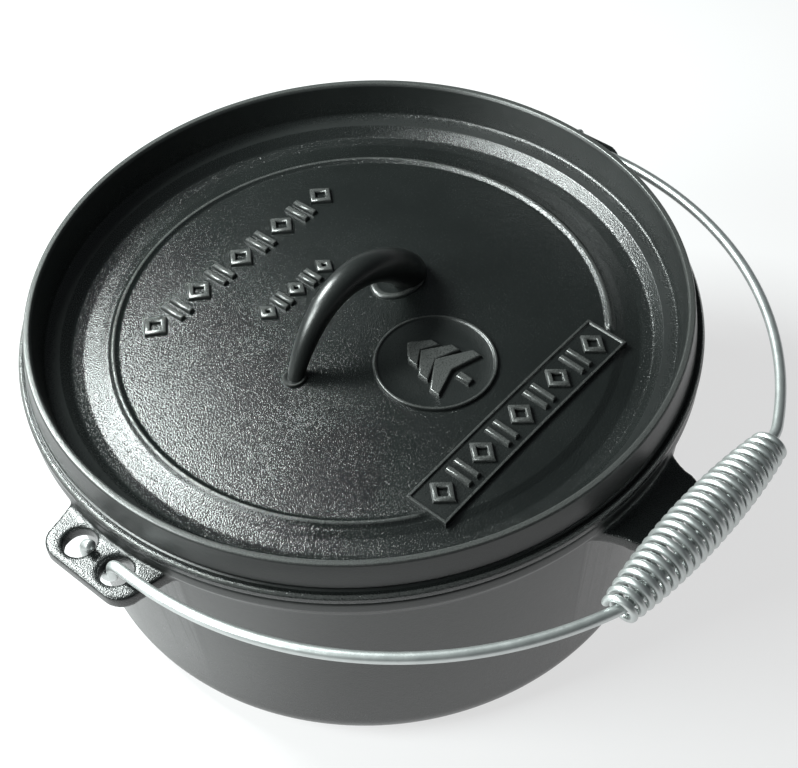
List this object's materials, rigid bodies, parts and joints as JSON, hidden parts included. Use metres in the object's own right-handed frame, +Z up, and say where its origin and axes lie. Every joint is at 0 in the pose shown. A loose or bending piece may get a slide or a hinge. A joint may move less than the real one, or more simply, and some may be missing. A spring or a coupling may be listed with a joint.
{
  "type": "dutch oven",
  "caption": "Round lidded cooking pot for coals: flat base, bail ears, rimmed lid with a loop handle, and a wire bail with a coil grip.",
  "frame": {"origin": "centre of the pot's flat base, on the surface it stands on", "axes": "+Z up; the bail's ears stand at +X and -X, and the bail lies out to the front, -Y"},
  "size_m": [0.2992, 0.3006, 0.1469],
  "materials": {
    "cast_iron": "black seasoned as-cast skin, fine sand grain, satin",
    "zinc_wire": "bright zinc-plated drawn wire"
  },
  "bodies": {
    "pot": {"pot": "cast_iron"},
    "lid": {"lid": "cast_iron", "lid_handle": "cast_iron"},
    "bail": {"bail_wire": "zinc_wire"},
    "grip": {"grip_coil": "zinc_wire"}
  },
  "joints": [
    {"name": "lid_lift", "type": "slide", "parent": "pot", "child": "lid", "axis": [0, 0, 1], "range_m": [0, 0.045]},
    {"name": "bail_swing", "type": "hinge", "parent": "pot", "child": "bail", "pos_m": [0, 0, 0.1052], "axis": [-1, 0, 0], "range_deg": [0, 135]},
    {"name": "grip_spin", "type": "hinge", "parent": "bail", "child": "grip", "pos_m": [-0.0038, -0.15753, 0.11693], "axis": [0.9996, -0.0279, 0.0011], "continuous": true}
  ]
}
